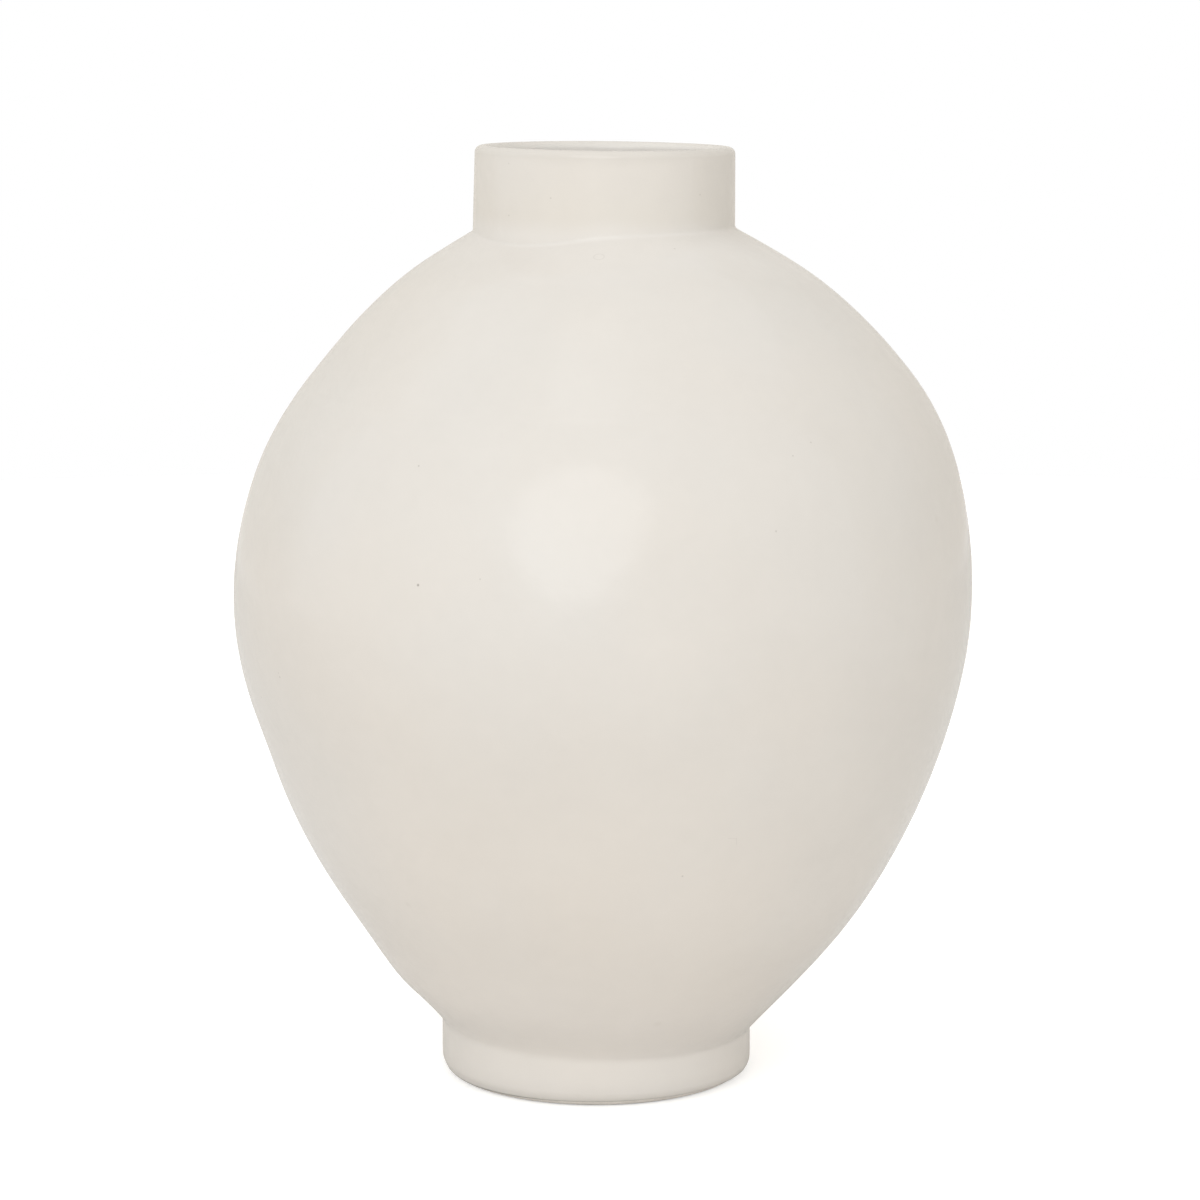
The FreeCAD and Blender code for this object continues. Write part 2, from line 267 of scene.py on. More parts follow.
def read_sizes():
    """Heights, radii and centres of the CAD part that the surfaces are built to."""
    foot_low, foot_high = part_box("foot_ring")
    coat_low, coat_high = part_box("glaze_coat")
    neck_low, neck_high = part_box("neck_joint_slip")
    seam_low, seam_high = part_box("shoulder_joint_slip")
    glaze = coat_high.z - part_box("neck_collar")[1].z
    return {
        "glaze": glaze,
        "foot_x": (foot_low.x + foot_high.x) / 2,
        "foot_radius": (foot_high.x - foot_low.x) / 2,
        "foot_joint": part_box("foot_joint_slip")[1].z,
        "bare_height": coat_low.z,
        "neck_x": (neck_low.x + neck_high.x) / 2,
        "neck_joint": neck_low.z,
        "collar_radius": (neck_high.x - neck_low.x) / 2 + glaze,
        "seam": (seam_low.z + seam_high.z) / 2,
        "top": coat_high.z,
        "recess_top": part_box("foot_recess_glaze")[1].z,
    }


SIZE = read_sizes()
POLE = Vector((0, 0, (SIZE["foot_joint"] + SIZE["neck_joint"]) / 2))
TURN = np.arange(COLUMNS)[:, None] * (2 * math.pi / COLUMNS)


def probe(tree, start, aim):
    """Where a ray meets the CAD."""
    return tree.ray_cast(Vector(start), Vector(aim))[0]


# Sizes that only rays can read
MOUTH_RADIUS = probe(COAT_TREE, (SIZE["neck_x"], 0, SIZE["neck_joint"]), (0, 1, 0)).y
LIP_PROBE = (SIZE["neck_x"], RAY_LENGTH, SIZE["top"] - LIP_PROBE_DEPTH)
LIP_RADIUS = probe(COAT_TREE, LIP_PROBE, (0, -1, 0)).y
LIP_ROUND = (LIP_RADIUS - MOUTH_RADIUS) / 2
THROAT_PROBE = (SIZE["neck_x"] + MOUTH_RADIUS + SIZE["glaze"], 0, POLE.z)
THROAT_LEVEL = probe(COAT_TREE, THROAT_PROBE, (0, 0, 1)).z
FOOT_RADIUS = SIZE["foot_radius"] + SIZE["glaze"]


def circle_edge(radius, centre):
    """Distance from the axis to a circle whose centre lies on X, round the jar."""
    across = centre * np.cos(TURN)
    return centre * np.sin(TURN) + np.sqrt(radius**2 - across**2)


def smooth_max(first, second, blend):
    """The larger of two radii, with a fillet where they cross."""
    share = np.clip(0.5 + 0.5 * (first - second) / blend, 0, 1)
    return second + (first - second) * share + blend * share * (1 - share)


def bell(distance, reach):
    return np.exp(-((distance / reach) ** 2))


def swell(points, size, phase):
    """Smooth noise at points of the surface, -1 to 1, for bumps of a size."""
    shift = Vector((phase, -phase, 2 * phase))
    values = [noise.noise(Vector(point) / size + shift) for point in points.reshape(-1, 3)]
    return np.array(values).reshape(points.shape[:-1])


def spiral_lines(table, levels):
    """The fine lines that rise round the wall as the wheel turns."""
    total = np.zeros((COLUMNS, len(levels)))
    for height, length, turns, phase_share in table:
        total += height * np.sin(turns * TURN + 2 * math.pi * (levels / length + phase_share))
    return total


def ring_angle(radius, level):
    return math.atan2(level - POLE.z, radius)


def fit_wall(inside, low, high):
    """The CAD wall as a smooth distance from the pole by angle and azimuth.

    Returns each column's section, from low to high: its radii and its heights."""
    rows = []
    distances = []
    low_end, high_end = (0, THROAT_LEVEL) if inside else (SIZE["foot_joint"], SIZE["neck_joint"])
    angles = np.linspace(low, high, FIT_ANGLES)
    terms = np.polynomial.chebyshev.chebvander(np.linspace(-1, 1, FIT_ANGLES), FIT_DEGREE)
    for azimuth in np.arange(FIT_AZIMUTHS) * (2 * math.pi / FIT_AZIMUTHS):
        for angle, term in zip(angles, terms):
            out = math.cos(angle)
            aim = Vector((out * math.sin(azimuth), -out * math.cos(azimuth), math.sin(angle)))
            start = POLE if inside else POLE + RAY_LENGTH * aim
            hit = probe(COAT_TREE, start, aim if inside else -aim)
            if hit is None or not low_end < hit.z < high_end:
                continue
            rows.append(np.concatenate([term, term * math.sin(azimuth)]))
            distances.append((hit - POLE).length)
    weights = np.linalg.lstsq(np.array(rows), np.array(distances), rcond=None)[0]
    steady, leaning = np.split(weights, 2)
    along = np.linspace(low, high, SECTION_POINTS)
    share = np.linspace(-1, 1, SECTION_POINTS)
    reach = np.polynomial.chebyshev.chebval(share, steady)
    reach = reach + np.polynomial.chebyshev.chebval(share, leaning) * np.sin(TURN)
    return reach * np.cos(along), POLE.z + reach * np.sin(along)


def wall_radius(section, levels):
    """Radii of a fitted wall at some heights for each column, run on straight past its ends."""
    table = np.empty((COLUMNS, len(levels)))
    for column, (radius, height) in enumerate(zip(*section)):
        found = np.interp(levels, height, radius)
        for end, beside, past in ((0, 1, levels < height[0]), (-1, -2, levels > height[-1])):
            slope = (radius[beside] - radius[end]) / (height[beside] - height[end])
            found[past] = radius[end] + slope * (levels[past] - height[end])
        table[column] = found
    return table


def foot_clay_radius(levels):
    """Radius of the foot's clay at some heights, drawn in at the bottom edge."""
    radii = []
    for level in np.minimum(levels, SIZE["foot_joint"] / 2):
        hit = probe(FOOT_TREE, (RAY_LENGTH, 0, level), (-1, 0, 0))
        radii.append(hit.x - SIZE["foot_x"])
    return np.array(radii)


def neck_shift(levels):
    """How far each row is lifted near the neck joint, which leans and sags on the front left."""
    away = (TURN - math.radians(SAG_AZIMUTH) + math.pi) % (2 * math.pi) - math.pi
    sag = NECK_JOINT_SAG * np.exp(-0.5 * (away / math.radians(SAG_WIDTH)) ** 2)
    lift = NECK_JOINT_LEAN * np.sin(TURN) - NECK_JOINT_DROP - sag
    return lift * bell(levels - SIZE["neck_joint"], NECK_LEAN_REACH)


def foot_shift(levels):
    """How far each row is lifted near the foot joint, which is higher on the left."""
    return -FOOT_JOINT_LEAN * np.sin(TURN) * bell(levels - SIZE["foot_joint"], FOOT_LEAN_REACH)


def collar_share(levels):
    """How far up the collar a height is, from 0 at the joint to 1 at the lip."""
    height = SIZE["top"] - LIP_ROUND - SIZE["neck_joint"]
    return np.clip((levels - SIZE["neck_joint"]) / height, 0, 1)


def lip_lift(levels):
    """How far each row is lifted near the lip, which leans to the right and waves a little."""
    wave = np.sin(LIP_WAVES * TURN + LIP_WAVE_PHASE)
    lean = -LIP_LEAN * (1 + np.sin(TURN)) - LIP_WAVE * (1 + wave)
    return lean * collar_share(levels) ** 2


def grid_points(radius, height):
    """Points from radii and heights, columns first."""
    turn = np.broadcast_to(TURN, radius.shape)
    height = np.broadcast_to(height, radius.shape)
    return np.stack([radius * np.sin(turn), -radius * np.cos(turn), height], axis=-1)


def body_detail(radius, levels):
    """Throwing lines, swellings, seam and hollows of the outer wall, outwards."""
    points = grid_points(radius, levels)
    detail = spiral_lines(OUTSIDE_LINES, levels)
    for phase, (size, height) in enumerate(SWELL_SIZES):
        detail = detail + height * swell(points, size, phase)
    seam = levels - SIZE["seam"]
    detail = detail + SEAM_SWELL * bell(seam, SEAM_SWELL_REACH)
    detail = detail - SEAM_GROOVE * bell(seam, SEAM_GROOVE_REACH)
    ends = np.minimum(levels - SIZE["foot_joint"], SIZE["neck_joint"] - levels)
    detail = detail * np.clip(ends / DETAIL_FADE, 0, 1)
    for side, depth, level, reach in HOLLOWS:
        facing = np.clip(side * np.sin(TURN), 0, 1) ** 2
        detail = detail - depth * bell(levels - level, reach) * facing
    return detail


def wall_levels(low, high):
    """Heights from low to high, closer together at the joints and at the glaze's edge."""
    fine = (SIZE["bare_height"], SIZE["foot_joint"], SIZE["seam"], SIZE["neck_joint"])
    levels = [low]
    while levels[-1] < high:
        near = min(abs(levels[-1] - level) for level in fine)
        levels.append(levels[-1] + (JOINT_STEP if near < JOINT_REACH else WALL_STEP))
    levels[-1] = high
    return np.array(levels)


def outside_grid():
    """Radii and heights of the glazed outside, from its edge on the foot to the lip."""
    low = ring_angle(FOOT_RADIUS, SIZE["foot_joint"])
    high = ring_angle(SIZE["collar_radius"], SIZE["neck_joint"])
    levels = wall_levels(SIZE["bare_height"], SIZE["top"] - LIP_ROUND)
    body = wall_radius(fit_wall(False, low, high), levels)
    body = body + body_detail(body, levels)
    edge = np.clip((levels - SIZE["bare_height"]) / EDGE_RISE, 0, 1)
    thickness = SIZE["glaze"] * np.sqrt(1 - (1 - edge) ** 2)
    foot = circle_edge(foot_clay_radius(levels) + thickness, SIZE["foot_x"])
    share = collar_share(levels)
    collar_radius = SIZE["collar_radius"] + (LIP_RADIUS - SIZE["collar_radius"]) * share
    collar_shift = COLLAR_BASE_SHIFT + (COLLAR_LIP_SHIFT - COLLAR_BASE_SHIFT) * share
    collar = circle_edge(collar_radius, SIZE["neck_x"] + collar_shift)
    neck_fillet = NECK_FILLET + NECK_FILLET_SWING * np.sin(TURN)
    lower = np.where(levels < SIZE["foot_joint"] / 2, foot, smooth_max(body, foot, FOOT_FILLET))
    radius = np.where(levels < POLE.z, lower, smooth_max(body, collar, neck_fillet))
    edge_wave = EDGE_WAVE * np.sin(EDGE_WAVES * TURN + EDGE_WAVE_PHASE) * (1 - edge)
    height = levels + foot_shift(levels) * edge + neck_shift(levels) + lip_lift(levels) + edge_wave
    return radius, height


def lip_grid():
    """Radii and heights over the round lip, from outside to inside."""
    turned = np.linspace(0, math.pi, LIP_ROWS + 2)[1:-1]
    level = SIZE["top"] - LIP_ROUND
    middle = circle_edge(MOUTH_RADIUS + LIP_ROUND, SIZE["neck_x"] + COLLAR_LIP_SHIFT)
    radius = middle + LIP_ROUND * np.cos(turned)
    return radius, level + LIP_ROUND * np.sin(turned) + lip_lift(np.array([level]))


def inside_grid():
    """Radii and heights of the glazed inside, from the lip down to the middle of the floor."""
    section = fit_wall(True, -math.pi / 2, ring_angle(MOUTH_RADIUS, THROAT_LEVEL))
    turn_level = THROAT_LEVEL - DETAIL_FADE
    levels = np.linspace(SIZE["top"] - LIP_ROUND, turn_level, BORE_ROWS)
    bore = circle_edge(MOUTH_RADIUS, SIZE["neck_x"] + COLLAR_LIP_SHIFT * collar_share(levels))
    neck_radius = smooth_max(wall_radius(section, levels), bore, THROAT_FILLET)
    neck_height = levels + lip_lift(levels) + neck_shift(levels)
    body_radius = np.empty((COLUMNS, INSIDE_ROWS))
    body_height = np.empty((COLUMNS, INSIDE_ROWS))
    for column, (radius, height) in enumerate(zip(*section)):
        start = np.searchsorted(height, turn_level)
        picked = np.linspace(start, 0, INSIDE_ROWS + 2)[1:-1]
        body_radius[column] = np.interp(picked, np.arange(SECTION_POINTS), radius)
        body_height[column] = np.interp(picked, np.arange(SECTION_POINTS), height)
    lines = spiral_lines(INSIDE_LINES, body_height[0])
    body_radius = body_radius * (1 + lines / body_radius.max())
    body_height = body_height + neck_shift(body_height)
    return np.hstack([neck_radius, body_radius]), np.hstack([neck_height, body_height])


def section_points(tree, middle, angles):
    """Points of a turned node's section, seen from a point beside it, in the plane y = 0."""
    points = []
    for angle in angles:
        hit = probe(tree, middle, (math.cos(angle), 0, math.sin(angle)))
        points.append((hit.x - SIZE["foot_x"], hit.z))
    return np.array(points)


def ring_profile():
    """Closed section of the bare foot ring, from its top outside corner round by the inside."""
    low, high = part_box("foot_ring")
    inner = probe(FOOT_TREE, (SIZE["foot_x"], 0, high.z / 2), (1, 0, 0))
    middle = ((inner.x + high.x) / 2, 0, high.z / 2)
    corner = math.pi / 4
    angles = np.linspace(corner, corner + 2 * math.pi, RING_ROWS, endpoint=False)
    return section_points(FOOT_TREE, middle, angles)


def recess_profile():
    """Section of the recess's glazed face, from its edge on the ring to the axis."""
    middle = (SIZE["foot_x"], 0, SIZE["bare_height"])
    points = section_points(RECESS_TREE, middle, np.linspace(0, math.pi / 2, RECESS_SAMPLES))
    along = np.concatenate([[0], np.cumsum(np.linalg.norm(np.diff(points, axis=0), axis=1))])
    even = np.linspace(0, along[-1], RECESS_ROWS)
    eased = np.stack([np.interp(even, along, points[:, axis]) for axis in (0, 1)], axis=1)
    for _ in range(RECESS_EASING_ROUNDS):
        eased[1:-1] = (eased[:-2] + 2 * eased[1:-1] + eased[2:]) / 4
    return eased


def add_object(name, data):
    made = bpy.data.objects.new(name, data)
    bpy.context.scene.collection.objects.link(made)
    return made


def add_mesh(name, points, faces):
    mesh = bpy.data.meshes.new(name)
    mesh.from_pydata(points, [], faces)
    return add_object(name, mesh)


def lathe(name, radius, height, centre_x=0.0, closed=False):
    """Object from rows of radii and heights round the jar: rows of quads, and a fan at each pole.

    A closed section's last row joins its first. An open one ends in a pole at the axis."""
    radius = np.broadcast_to(radius, (COLUMNS, radius.shape[-1]))
    points = grid_points(radius, height)
    points[..., 0] += centre_x
    rows = radius.shape[1]
    flat = [tuple(point) for point in points.transpose(1, 0, 2).reshape(-1, 3)]
    faces = []
    for row in range(rows if closed else rows - 1):
        low = row * COLUMNS
        high = (row + 1) % rows * COLUMNS
        for column in range(COLUMNS):
            after = (column + 1) % COLUMNS
            faces.append((low + column, low + after, high + after, high + column))
    if not closed:
        for row, flip in ((0, True), (rows - 1, False)):
            pole = len(flat)
            flat.append(tuple(points[:, row].mean(axis=0)))
            for column in range(COLUMNS):
                ring = (row * COLUMNS + column, row * COLUMNS + (column + 1) % COLUMNS)
                faces.append((pole, *(reversed(ring) if flip else ring)))
    made = add_mesh(name, flat, faces)
    made.data.polygons.foreach_set("use_smooth", [True] * len(faces))
    made.data.update()
    return made


def make_glazed_jar(outside, recess_radius):
    """The glazed jar in one skin, closed under the floor: foot wall, body, collar, lip, inside."""
    hidden_top = SIZE["foot_joint"] - SIZE["glaze"]
    hidden_levels = np.linspace(hidden_top, SIZE["bare_height"], HIDDEN_ROWS)[:-1]
    under_floor = recess_radius * np.linspace(0, 1, HIDDEN_ROWS + 1)[1:]
    hidden_radius = np.concatenate([under_floor, foot_clay_radius(hidden_levels)])
    hidden_height = np.concatenate([np.full(HIDDEN_ROWS, SIZE["recess_top"]), hidden_levels])
    hidden_radius = circle_edge(hidden_radius, SIZE["foot_x"])
    hidden_height = np.broadcast_to(hidden_height, hidden_radius.shape)
    grids = ((hidden_radius, hidden_height), outside, lip_grid(), inside_grid())
    radius = np.hstack([grid[0] for grid in grids])
    height = np.hstack([np.broadcast_to(grid[1], grid[0].shape) for grid in grids])
    jar = lathe("glazed_jar", radius, height)
    inside_rows = BORE_ROWS + INSIDE_ROWS
    first_inside = COLUMNS * (radius.shape[1] - inside_rows)
    for polygon in jar.data.polygons[first_inside:]:
        polygon.material_index = 1
    return jar


def make_bare_foot():
    """The bare clay ring that the jar stands on."""
    profile = ring_profile()
    radius = np.broadcast_to(profile[:, 0], (COLUMNS, len(profile)))
    return lathe("bare_foot", radius, profile[:, 1], SIZE["foot_x"], closed=True)


def make_recess():
    """The glaze in the hollow under the foot, a thin shell closed on the axis."""
    face = recess_profile()
    back = face + SIZE["glaze"] / 2
    profile = np.vstack([face[-2::-1], back[:-1]])
    return lathe("foot_recess", profile[:, 0], profile[:, 1], SIZE["foot_x"])


def add_node(tree, kind, **settings):
    node = tree.nodes.new("ShaderNode" + kind)
    for name, value in settings.items():
        setattr(node, name, value)
    return node


def feed(tree, socket, value):
    """Set a socket to a value, or join it to another socket."""
    if isinstance(value, bpy.types.NodeSocket):
        tree.links.new(value, socket)
    else:
        socket.default_value = value


def calculate(tree, operation, *values):
    """Result of a math node."""
    node = add_node(tree, "Math", operation=operation)
    for socket, value in zip(node.inputs, values):
        feed(tree, socket, value)
    return node.outputs[0]


def spread(tree, value, from_low, from_high, to_low, to_high, smooth=False):
    """A value mapped from one span to another."""
    node = add_node(tree, "MapRange", interpolation_type="SMOOTHSTEP" if smooth else "LINEAR")
    for socket, given in zip(node.inputs, (value, from_low, from_high, to_low, to_high)):
        feed(tree, socket, given)
    return node.outputs["Result"]


def cloud(tree, place, size, shift):
    """Noise of a size, from about -1 to 1."""
    moved = add_node(tree, "VectorMath", operation="ADD")
    feed(tree, moved.inputs[0], place)
    moved.inputs[1].default_value = (shift, shift, shift)
    node = add_node(tree, "TexNoise")
    feed(tree, node.inputs["Vector"], moved.outputs[0])
    node.inputs["Scale"].default_value = 1 / size
    node.inputs["Detail"].default_value = NOISE_DETAIL
    return spread(tree, node.outputs[0], NOISE_LOW, NOISE_HIGH, -1, 1)


def blend_colour(tree, share, first, second, kind="MIX"):
    node = add_node(tree, "Mix", data_type="RGBA", blend_type=kind)
    feed(tree, node.inputs["Factor"], share)
    feed(tree, node.inputs["A"], first)
    feed(tree, node.inputs["B"], second)
    return node.outputs["Result"]


def shade_colour(tree, colour, place, clouds):
    """A colour made lighter and darker by clouds of several sizes."""
    shade = 1.0
    for size, strength, shift in clouds:
        part = calculate(tree, "MULTIPLY", cloud(tree, place, size, shift), strength)
        shade = calculate(tree, "ADD", part, shade)
    shades = add_node(tree, "CombineXYZ")
    for socket in shades.inputs:
        feed(tree, socket, shade)
    return blend_colour(tree, 1.0, colour, shades.outputs[0], "MULTIPLY")


def add_grain(tree, shader, place, grains):
    """Fine bumps of several sizes and heights on a shader's normal."""
    total = 0.0
    for shift, (size, height) in enumerate(grains):
        part = calculate(tree, "MULTIPLY", cloud(tree, place, size, shift), height)
        total = calculate(tree, "ADD", part, total)
    bump = add_node(tree, "Bump")
    bump.inputs["Strength"].default_value = 1.0
    bump.inputs["Distance"].default_value = 1.0
    feed(tree, bump.inputs["Height"], total)
    feed(tree, shader.inputs["Normal"], bump.outputs["Normal"])


def distance_from(tree, place, middle):
    node = add_node(tree, "VectorMath", operation="DISTANCE")
    feed(tree, node.inputs[0], place)
    node.inputs[1].default_value = middle
    return node.outputs["Value"]


def mark(tree, place, middle, radius, depth):
    """A soft round spot's share at a place: its depth in the middle, nothing past its radius."""
    return spread(tree, distance_from(tree, place, middle), 0, radius, depth, 0, smooth=True)


def strongest(tree, shares):
    total = shares[0]
    for share in shares[1:]:
        total = calculate(tree, "MAXIMUM", total, share)
    return total


def surface_point(grid, azimuth, level):
    """The point of the outside at an azimuth in degrees and a height."""
    radius, height = grid
    column = round(math.radians(azimuth) / (2 * math.pi) * COLUMNS) % COLUMNS
    turn = math.radians(azimuth)
    reach = float(np.interp(level, height[column], radius[column]))
    return Vector((reach * math.sin(turn), -reach * math.cos(turn), level))


def scratch_points(grid):
    """Points close together along the scratch's strokes."""
    ends = [surface_point(grid, azimuth, level * MM) for azimuth, level in SCRATCH]
    points = []
    for start, end in zip(ends, ends[1:]):
        steps = max(1, round((end - start).length / SCRATCH_STEP))
        points += [start.lerp(end, step / steps) for step in range(steps + 1)]
    return points


def marks(tree, place, grid, table):
    """Soft round spots from a table of azimuths, heights, radii and depths."""
    return [
        mark(tree, place, surface_point(grid, azimuth, level * MM), radius * MM, depth)
        for azimuth, level, radius, depth in table
    ]


def scratch_marks(tree, place, grid):
    points = scratch_points(grid)
    return [mark(tree, place, point, SCRATCH_RADIUS * MM, SCRATCH_DEPTH) for point in points]


def ring_mark(tree, place, grid):
    """A thin ring's share at a place."""
    azimuth, level, radius, depth = RING_MARK
    away = distance_from(tree, place, surface_point(grid, azimuth, level * MM))
    from_line = calculate(tree, "ABSOLUTE", calculate(tree, "SUBTRACT", away, radius * MM))
    return spread(tree, from_line, 0, RING_MARK_WIDTH, depth, 0, smooth=True)


def height_tint_and_painted_light(tree, level):
    """The glaze's tint at a share of the jar's height, with painted light and shade by height in it.
    """
    ramp = add_node(tree, "ValToRGB")
    feed(tree, ramp.inputs[0], level)
    ramp.color_ramp.interpolation = "EASE"
    stops = ramp.color_ramp.elements
    for index, (share, colour) in enumerate(GLAZE_TINTS_AND_PAINTED_LIGHT):
        stop = stops[index] if index < len(stops) else stops.new(share)
        stop.position = share
        stop.color = (*colour, 1)
    return ramp.outputs["Color"]


def mouth_light_share(tree, place, level):
    """1 on the inner side of the lip, fading out over its crest. There the inside's lighter colour is
    painted on as light in the mouth's shade.
    """
    flat_place = add_node(tree, "VectorMath", operation="MULTIPLY")
    feed(tree, flat_place.inputs[0], place)
    flat_place.inputs[1].default_value = (1, 1, 0)
    from_axis = distance_from(tree, flat_place.outputs[0], (SIZE["neck_x"], 0, 0))
    crest = MOUTH_RADIUS + LIP_ROUND
    inner = spread(tree, from_axis, crest - MOUTH_FADE_SHARE * LIP_ROUND, crest, 1, 0)
    below_lip = spread(tree, level, SIZE["top"] - LIP_ROUND, SIZE["top"], 1, 0, smooth=True)
    above_foot = spread(tree, level, POLE.z, THROAT_LEVEL, 0, 1)
    return calculate(tree, "MULTIPLY", calculate(tree, "MULTIPLY", inner, below_lip), above_foot)


def blank_material(name):
    """A new material, with its shader, the place on the object and the height."""
    material = bpy.data.materials.new(name)
    material.use_nodes = True
    tree = material.node_tree
    place = add_node(tree, "TexCoord").outputs["Object"]
    parts = add_node(tree, "SeparateXYZ")
    feed(tree, parts.inputs[0], place)
    return material, tree.nodes["Principled BSDF"], place, parts.outputs["Z"]


def glaze_colour(tree, place, height, jar_grid, inside):
    """Tint by height, a blush, the lighter inside, clouds, a darker patch, smudges and specks. The
    tints, the lighter inside and the patch carry painted light and shade.
    """
    drift = calculate(tree, "MULTIPLY", cloud(tree, place, BLUSH_SIZE, TINT_SHIFT), TINT_DRIFT)
    level = calculate(tree, "ADD", calculate(tree, "DIVIDE", height, SIZE["top"]), drift)
    # Tint by height: the glaze's own colour, with painted light and shade in its lightness
    colour = height_tint_and_painted_light(tree, level)
    blush = spread(tree, cloud(tree, place, BLUSH_SIZE, BLUSH_SHIFT), -1, 1, 0, 1)
    tint = blend_colour(tree, blush, WHITE, (*BLUSH_COLOUR, 1))
    colour = blend_colour(tree, 1.0, colour, tint, "MULTIPLY")
    # Painted light: the inside's lighter colour, also on the lip's inner side
    inside_light = 1.0 if inside else mouth_light_share(tree, place, height)
    colour = blend_colour(tree, inside_light, colour, (*INSIDE_COLOUR_AND_PAINTED_LIGHT, 1))
    colour = shade_colour(tree, colour, place, CLOUDS)
    # Painted shade: a darker patch on the neck's right side
    painted_shade = marks(tree, place, jar_grid, PAINTED_SHADE_PATCHES)
    colour = blend_colour(tree, strongest(tree, painted_shade), colour, BLACK)
    smudges = marks(tree, place, jar_grid, SMUDGES)
    colour = blend_colour(tree, strongest(tree, smudges), colour, (*SMUDGE_COLOUR, 1))
    specks = marks(tree, place, jar_grid, SPECKS) + scratch_marks(tree, place, jar_grid)
    specks.append(ring_mark(tree, place, jar_grid))
    return blend_colour(tree, strongest(tree, specks), colour, (*SPECK_COLOUR, 1))


def glaze_material(name, jar_grid, inside):
    """White glaze over porcelain: warm clouds, iron specks, faint marks and a satin surface, with
    painted light and shade in its tints by height, its lighter inside and a darker patch.
    """
    material, shader, place, height = blank_material(name)
    tree = material.node_tree
    feed(tree, shader.inputs["Base Color"], glaze_colour(tree, place, height, jar_grid, inside))
    gloss_cloud = cloud(tree, place, ROUGHNESS_DRIFT_SIZE, ROUGHNESS_SHIFT)
    gloss_drift = calculate(tree, "MULTIPLY", gloss_cloud, ROUGHNESS_DRIFT)
    feed(tree, shader.inputs["Roughness"], calculate(tree, "ADD", gloss_drift, GLAZE_ROUGHNESS))
    shader.inputs["Specular IOR Level"].default_value = GLAZE_GLOSS
    add_grain(tree, shader, place, SURFACE_GRAIN)
    return material


def clay_material():
    """Unglazed porcelain: matt and a little sandy, toasted where the glaze ends."""
    material, shader, place, height = blank_material("bare_clay")
    tree = material.node_tree
    toast_low = SIZE["bare_height"] - CLAY_TOAST_REACH
    toast = spread(tree, height, toast_low, SIZE["bare_height"], 0, 1, smooth=True)
    colour = blend_colour(tree, toast, (*CLAY_COLOUR, 1), (*CLAY_TOAST_COLOUR, 1))
    colour = shade_colour(tree, colour, place, CLAY_CLOUDS)
    feed(tree, shader.inputs["Base Color"], colour)
    shader.inputs["Roughness"].default_value = CLAY_ROUGHNESS
    add_grain(tree, shader, place, CLAY_GRAIN)
    return material


def new_material(name, colour, roughness):
    material = bpy.data.materials.new(name)
    material.use_nodes = True
    shader = material.node_tree.nodes["Principled BSDF"]
    shader.inputs["Base Color"].default_value = (*colour, 1)
    shader.inputs["Roughness"].default_value = roughness
    return material


def look_at(thing, target):
    aim = Vector(target) - thing.location
    thing.rotation_euler = aim.to_track_quat("-Z", "Y").to_euler()


def make_camera():
    data = bpy.data.cameras.new("camera")
    data.lens = CAMERA_LENS
    data.sensor_width = CAMERA_SENSOR
    camera = add_object("camera", data)
    camera.location = CAMERA_PLACE
    look_at(camera, CAMERA_AIM)
    bpy.context.scene.camera = camera


def around(azimuth, elevation, distance):
    """A point round the jar's middle."""
    out = math.cos(math.radians(elevation)) * distance
    turn = math.radians(azimuth)
    rise = math.sin(math.radians(elevation)) * distance
    return Vector((out * math.sin(turn), -out * math.cos(turn), POLE.z + rise))


def make_lamp(name, azimuth, elevation, distance, width, height, power):
    data = bpy.data.lights.new(name, "AREA")
    data.shape = "ELLIPSE"
    data.size = width
    data.size_y = height
    data.energy = power
    lamp = add_object(name, data)
    lamp.location = around(azimuth, elevation, distance)
    look_at(lamp, POLE)
    lamp.visible_camera = False


def make_world():
    """A pale room that lights the jar. The camera, reflections and glass see plain white."""
    world = bpy.data.worlds.new("studio")
    world.use_nodes = True
    bpy.context.scene.world = world
    tree = world.node_tree
    tree.nodes.clear()
    rays = add_node(tree, "LightPath")
    seen = calculate(tree, "MAXIMUM", rays.outputs["Is Camera Ray"], rays.outputs["Is Glossy Ray"])
    seen = calculate(tree, "MAXIMUM", seen, rays.outputs["Is Transmission Ray"])
    mix = add_node(tree, "MixShader")
    feed(tree, mix.inputs[0], seen)
    for socket, colour, strength in ((1, (*ROOM_COLOUR, 1), ROOM_STRENGTH), (2, WHITE, 1)):
        glow = add_node(tree, "Background")
        glow.inputs["Color"].default_value = colour
        glow.inputs["Strength"].default_value = strength
        feed(tree, mix.inputs[socket], glow.outputs[0])
    output = add_node(tree, "OutputWorld")
    feed(tree, output.inputs["Surface"], mix.outputs[0])


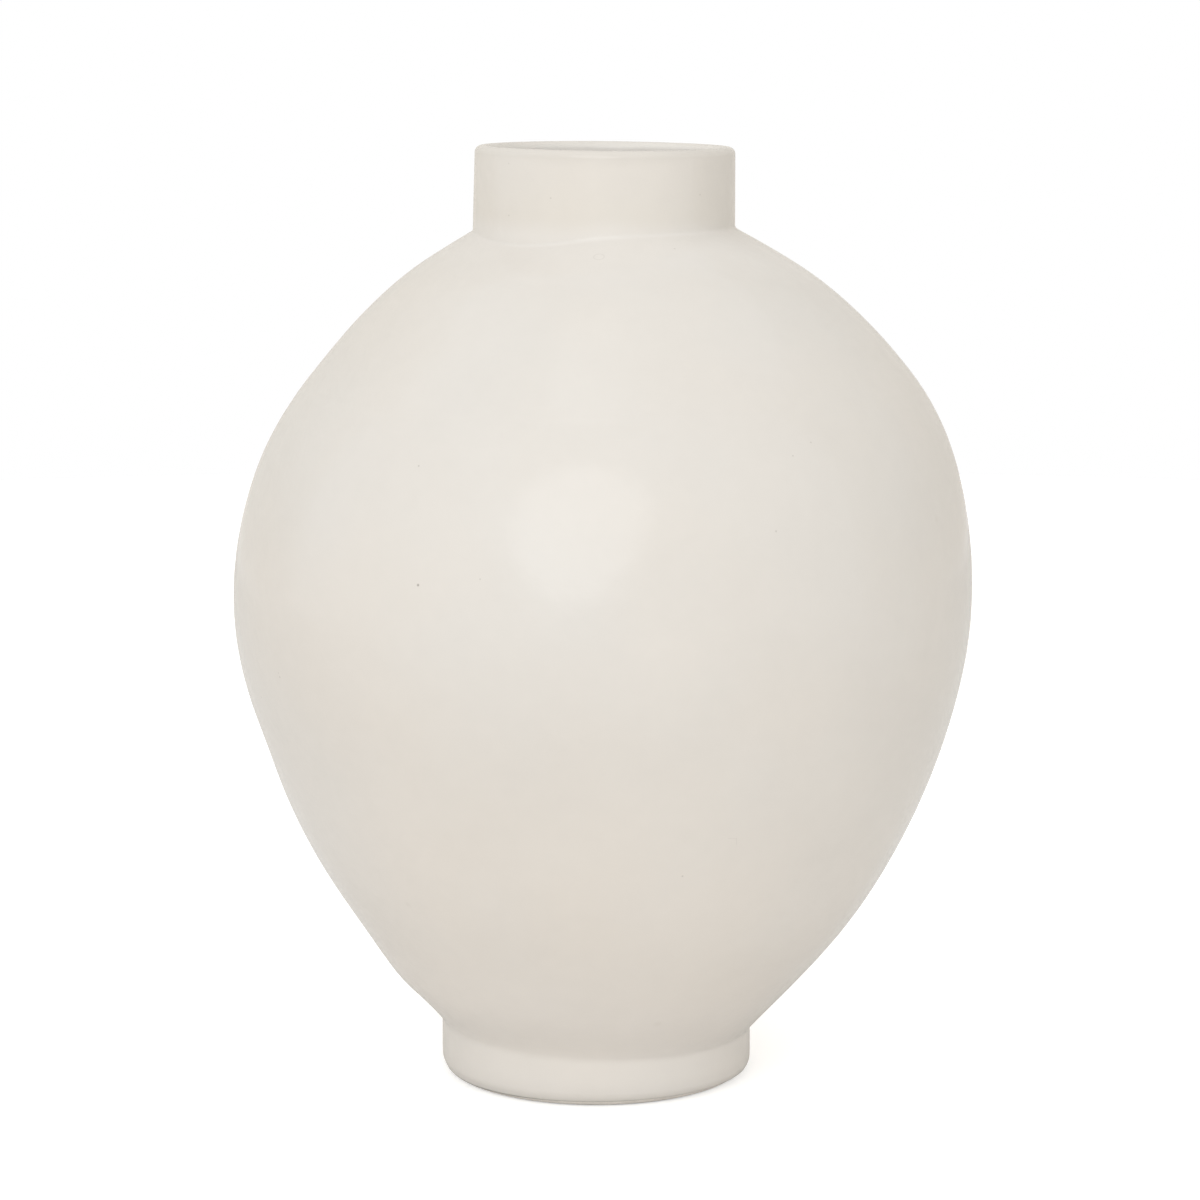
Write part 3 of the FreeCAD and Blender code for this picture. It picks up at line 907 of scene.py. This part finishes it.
def make_floor():
    """A round pale floor. Only the camera sees it brighter than it is, and its shadow stays."""
    turned = np.arange(FLOOR_SIDES) * (2 * math.pi / FLOOR_SIDES)
    points = [(FLOOR_RADIUS * math.cos(turn), FLOOR_RADIUS * math.sin(turn), 0) for turn in turned]
    floor = add_mesh("floor", points, [tuple(range(FLOOR_SIDES))])
    material = new_material("floor_white", FLOOR_COLOUR, MATT)
    tree = material.node_tree
    shader = tree.nodes["Principled BSDF"]
    shader.inputs["Specular IOR Level"].default_value = 0
    shader.inputs["Emission Color"].default_value = WHITE
    seen = add_node(tree, "LightPath").outputs["Is Camera Ray"]
    feed(tree, shader.inputs["Emission Strength"], calculate(tree, "MULTIPLY", seen, FLOOR_SHINE))
    floor.data.materials.append(material)


def make_card():
    """A pale curved card round the back of the set, darker on the right, hidden from the camera."""
    points = []
    faces = []
    for turned in np.linspace(CARD_FROM, CARD_TO, CARD_PANELS + 1):
        place = around(turned, 0, CARD_DISTANCE)
        points += [(place.x, place.y, 0), (place.x, place.y, CARD_HEIGHT)]
    for panel in range(CARD_PANELS):
        faces.append((2 * panel, 2 * panel + 2, 2 * panel + 3, 2 * panel + 1))
    card = add_mesh("card", points, faces)
    material = new_material("card_grey", CARD_COLOUR, MATT)
    tree = material.node_tree
    parts = add_node(tree, "SeparateXYZ")
    feed(tree, parts.inputs[0], add_node(tree, "TexCoord").outputs["Object"])
    rightward = spread(tree, parts.outputs["X"], CARD_SHADE_START * CARD_DISTANCE, CARD_DISTANCE, 0, 1)
    colour = blend_colour(tree, rightward, (*CARD_COLOUR, 1), (*CARD_DARK_COLOUR, 1))
    feed(tree, tree.nodes["Principled BSDF"].inputs["Base Color"], colour)
    card.data.materials.append(material)
    card.visible_camera = False


outside = outside_grid()
glazed_jar = make_glazed_jar(outside, recess_profile()[:, 0].max())
bare_foot = make_bare_foot()
foot_recess = make_recess()
glaze = glaze_material("satin_glaze", outside, False)
inside_glaze = glaze_material("inside_glaze", outside, True)
clay = clay_material()
glazed_jar.data.materials.append(glaze)
glazed_jar.data.materials.append(inside_glaze)
foot_recess.data.materials.append(glaze)
bare_foot.data.materials.append(clay)

for piece in (glazed_jar, bare_foot, foot_recess):
    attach(piece, "root")
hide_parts("glaze_coat", "lower_bowl", "upper_bowl", "neck_collar")
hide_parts("foot_joint_slip", "shoulder_joint_slip", "neck_joint_slip")
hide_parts("foot_ring")
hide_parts("foot_recess_glaze")

make_camera()
make_world()
make_floor()
make_card()
for lamp in LAMPS:
    make_lamp(*lamp)

view = bpy.context.scene.view_settings
view.view_transform = "Standard"
